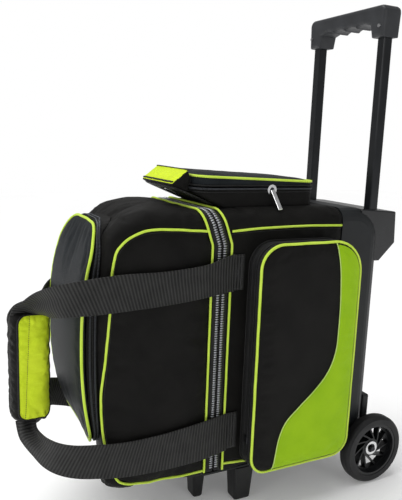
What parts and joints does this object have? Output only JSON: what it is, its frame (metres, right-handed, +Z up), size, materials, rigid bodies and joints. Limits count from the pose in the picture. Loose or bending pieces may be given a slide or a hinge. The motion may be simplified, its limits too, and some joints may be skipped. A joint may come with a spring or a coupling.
{
  "type": "rolling bowling ball bag",
  "caption": "Upright fabric rolling bag for a bowling ball, with a moulded back, telescoping trolley handle, wheels, feet, zipped pockets and padded carry straps.",
  "frame": {"origin": "on the floor under the middle of the bounding box", "axes": "+Z up, +Y towards the trolley and wheels, -Y towards the front pocket and carry grip, +X towards the side with the zipped side pocket"},
  "size_m": [0.311, 0.753, 0.9225],
  "materials": {
    "black_fabric": "matte",
    "zipper_tape": "matte",
    "webbing": "matte",
    "lime_fabric": "matte",
    "foam": "matte",
    "back_plastic": "satin",
    "board": "matte",
    "gloss_plastic": "gloss",
    "grip_plastic": "satin",
    "tube_metal": "satin",
    "steel": "satin",
    "bright_metal": "polished",
    "tyre_rubber": "matte",
    "foot_rubber": "matte"
  },
  "bodies": {
    "bag": {"rear_shell": "black_fabric", "back_shell": "back_plastic", "divider_board": "board", "base_tray": "back_plastic", "ball_cup": "foam", "rear_zip_tape": "zipper_tape", "hinge_strip": "black_fabric", "side_pocket_gusset": "zipper_tape", "top_pocket_tray": "black_fabric", "handle_housing": "gloss_plastic", "axle": "steel", "outer_tube_near": "tube_metal", "tube_foot_near": "back_plastic", "wheel_bracket_near": "back_plastic", "rear_foot_near": "foot_rubber", "front_foot_near": "foot_rubber", "strap_anchor_near": "webbing", "outer_tube_far": "tube_metal", "tube_foot_far": "back_plastic", "wheel_bracket_far": "back_plastic", "rear_foot_far": "foot_rubber", "front_foot_far": "foot_rubber", "strap_anchor_far": "webbing"},
    "trolley": {"inner_tube_near": "tube_metal", "inner_tube_far": "tube_metal", "trolley_grip": "grip_plastic", "grip_screw_near": "steel", "grip_screw_far": "steel", "button_spring": "steel"},
    "button": {"release_button": "gloss_plastic", "push_rod_near": "steel", "push_rod_far": "steel"},
    "lock_pin_near": {"lock_pin_near": "steel"},
    "lock_pin_far": {"lock_pin_far": "steel"},
    "wheel_near": {"tyre_near": "tyre_rubber", "rim_near": "gloss_plastic", "bearing_near": "steel", "hub_ring_near": "bright_metal"},
    "wheel_far": {"tyre_far": "tyre_rubber", "rim_far": "gloss_plastic", "bearing_far": "steel", "hub_ring_far": "bright_metal"},
    "front_half": {"front_shell": "black_fabric", "front_zip_tape": "zipper_tape", "front_pocket_gusset": "zipper_tape"},
    "front_pocket_door": {"front_pocket_panel": "black_fabric"},
    "strap_near": {"carry_strap_near": "webbing", "carry_grip_near": "lime_fabric"},
    "strap_far": {"carry_strap_far": "webbing", "carry_grip_far": "lime_fabric"},
    "side_lid": {"side_pocket_lid": "lime_fabric"},
    "top_lid": {"top_pocket_lid": "black_fabric"},
    "top_handle": {"top_handle_webbing": "webbing", "top_handle_sleeve": "lime_fabric"},
    "top_slider": {"top_zip_slider": "bright_metal"},
    "top_pull": {"top_zip_pull": "bright_metal"},
    "main_slider": {"main_zip_slider": "bright_metal"},
    "side_slider": {"side_zip_slider": "steel"},
    "front_slider": {"front_zip_slider": "steel"}
  },
  "joints": [
    {"name": "trolley_slide", "type": "slide", "parent": "bag", "child": "trolley", "axis": [0, 0, 1], "range_m": [-0.305, 0]},
    {"name": "button_push", "type": "slide", "parent": "trolley", "child": "button", "axis": [0, 0, -1], "range_m": [0, 0.004], "stiffness_N_per_m": 900, "springref_m": -0.002, "deforming": ["button_spring"]},
    {"name": "lock_pin_near_slide", "type": "slide", "parent": "trolley", "child": "lock_pin_near", "axis": [1, 0, 0], "range_m": [0, 0.003]},
    {"name": "lock_pin_far_slide", "type": "slide", "parent": "trolley", "child": "lock_pin_far", "axis": [-1, 0, 0], "range_m": [0, 0.003]},
    {"name": "wheel_near_spin", "type": "hinge", "parent": "bag", "child": "wheel_near", "pos_m": [0.1265, 0.3065, 0.07], "axis": [1, 0, 0], "continuous": true},
    {"name": "wheel_far_spin", "type": "hinge", "parent": "bag", "child": "wheel_far", "pos_m": [-0.1415, 0.3065, 0.07], "axis": [1, 0, 0], "continuous": true},
    {"name": "front_half_hinge", "type": "hinge", "parent": "bag", "child": "front_half", "pos_m": [-0.0075, -0.0605, 0.078], "axis": [1, 0, 0], "range_deg": [0, 60]},
    {"name": "front_pocket_hinge", "type": "hinge", "parent": "front_half", "child": "front_pocket_door", "pos_m": [-0.0075, -0.2745, 0.172], "axis": [1, 0, 0], "range_deg": [0, 12]},
    {"name": "strap_near_swing", "type": "hinge", "parent": "bag", "child": "strap_near", "pos_m": [0.1165, -0.0295, 0.3], "axis": [0, 0, 1], "range_deg": [0, 126]},
    {"name": "strap_far_swing", "type": "hinge", "parent": "bag", "child": "strap_far", "pos_m": [-0.1315, -0.0295, 0.3], "axis": [0, 0, 1], "range_deg": [-126, 0]},
    {"name": "side_lid_hinge", "type": "hinge", "parent": "bag", "child": "side_lid", "pos_m": [0.1435, 0.1135, 0.092], "axis": [0, 1, 0], "range_deg": [0, 90]},
    {"name": "top_lid_hinge", "type": "hinge", "parent": "bag", "child": "top_lid", "pos_m": [-0.0075, 0.1645, 0.592], "axis": [-1, 0, 0], "range_deg": [0, 100]},
    {"name": "top_handle_hinge", "type": "hinge", "parent": "bag", "child": "top_handle", "pos_m": [-0.0075, -0.0395, 0.56], "axis": [1, 0, 0], "range_deg": [-2, 16]},
    {"name": "top_slider_run", "type": "slide", "parent": "bag", "child": "top_slider", "axis": [0, 1, 0], "range_m": [-0.11, 0.06]},
    {"name": "top_pull_swing", "type": "hinge", "parent": "top_slider", "child": "top_pull", "pos_m": [0.0785, 0.0655, 0.588], "axis": [1, 0, 0], "range_deg": [0, 60]},
    {"name": "main_slider_run", "type": "slide", "parent": "bag", "child": "main_slider", "axis": [0, 0, 1], "range_m": [0, 0.36]},
    {"name": "side_slider_run", "type": "slide", "parent": "bag", "child": "side_slider", "axis": [0, 0, 1], "range_m": [0, 0.29]},
    {"name": "front_slider_run", "type": "slide", "parent": "front_half", "child": "front_slider", "axis": [0, 0, 1], "range_m": [0, 0.22]}
  ],
  "couplings": [
    {"joint": "lock_pin_near_slide", "follows": "button_push", "ratio": 0.75},
    {"joint": "lock_pin_far_slide", "follows": "button_push", "ratio": 0.75},
    {"joint": "strap_near_swing", "follows": "front_half_hinge", "ratio": 2.1},
    {"joint": "strap_far_swing", "follows": "front_half_hinge", "ratio": -2.1},
    {"joint": "front_pocket_hinge", "follows": "front_half_hinge", "ratio": 0.2}
  ]
}
